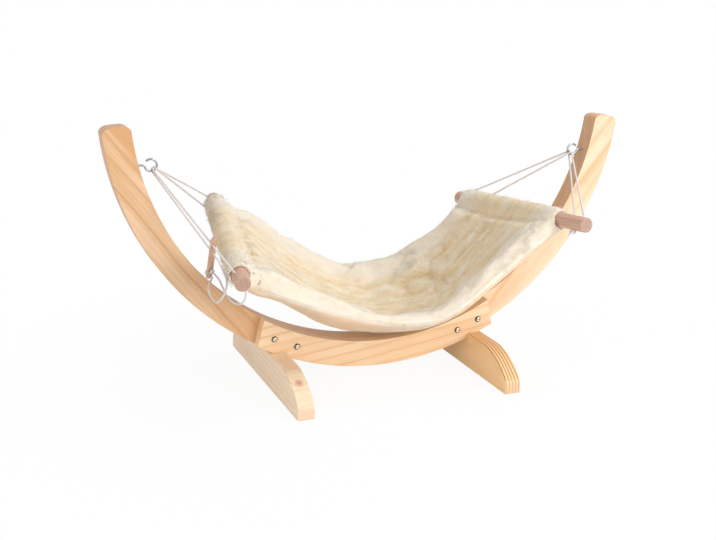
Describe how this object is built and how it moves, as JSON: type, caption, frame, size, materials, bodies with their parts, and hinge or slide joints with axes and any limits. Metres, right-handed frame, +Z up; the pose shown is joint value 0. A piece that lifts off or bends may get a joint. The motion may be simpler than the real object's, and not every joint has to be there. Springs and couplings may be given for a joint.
{
  "type": "cat lounger",
  "caption": "Padded plush sling hung by ropes on dowels from hooks at the tips of a curved pine stand with two cross feet.",
  "frame": {"origin": "on the floor, below the middle of the whole object", "axes": "+X from the left arm to the right arm, seen from the front; -Y to the front, where the centre board and its bolt heads are; +Z up"},
  "size_m": [0.9164, 0.392, 0.4413],
  "materials": {
    "pine": "satin",
    "beech": "matte",
    "plush": "matte",
    "cotton_rope": "matte",
    "zinc_steel": "satin"
  },
  "bodies": {
    "stand": {"centre_board": "pine", "left_arm": "pine", "left_bolt_1": "zinc_steel", "left_bolt_2": "zinc_steel", "left_cap_nut_1": "zinc_steel", "left_cap_nut_2": "zinc_steel", "left_foot": "pine", "left_foot_screw_1": "zinc_steel", "left_foot_screw_2": "zinc_steel", "left_hook": "zinc_steel", "left_washer_1": "zinc_steel", "left_washer_2": "zinc_steel", "right_arm": "pine", "right_bolt_1": "zinc_steel", "right_bolt_2": "zinc_steel", "right_cap_nut_1": "zinc_steel", "right_cap_nut_2": "zinc_steel", "right_foot": "pine", "right_foot_screw_1": "zinc_steel", "right_foot_screw_2": "zinc_steel", "right_hook": "zinc_steel", "right_washer_1": "zinc_steel", "right_washer_2": "zinc_steel"},
    "hammock": {"left_back_knot": "cotton_rope", "left_back_rope": "cotton_rope", "left_dowel": "beech", "left_front_rope": "cotton_rope", "lower_rope_tail": "cotton_rope", "right_back_knot": "cotton_rope", "right_back_rope": "cotton_rope", "right_dowel": "beech", "right_front_knot": "cotton_rope", "right_front_rope": "cotton_rope", "sling": "plush", "upper_rope_tail": "cotton_rope"},
    "cord_runner": {"cord_runner": "beech", "cord_runner_knot_1": "cotton_rope", "cord_runner_knot_2": "cotton_rope"}
  },
  "joints": [
    {"name": "hammock_swing", "type": "hinge", "parent": "stand", "child": "hammock", "pos_m": [0, 0.0115, 0.3714], "axis": [1, 0, 0], "range_deg": [-15, 15]},
    {"name": "cord_runner_slide", "type": "slide", "parent": "hammock", "child": "cord_runner", "axis": [-0.3912, 0.6895, 0.6095], "range_m": [0, 0.01]}
  ]
}
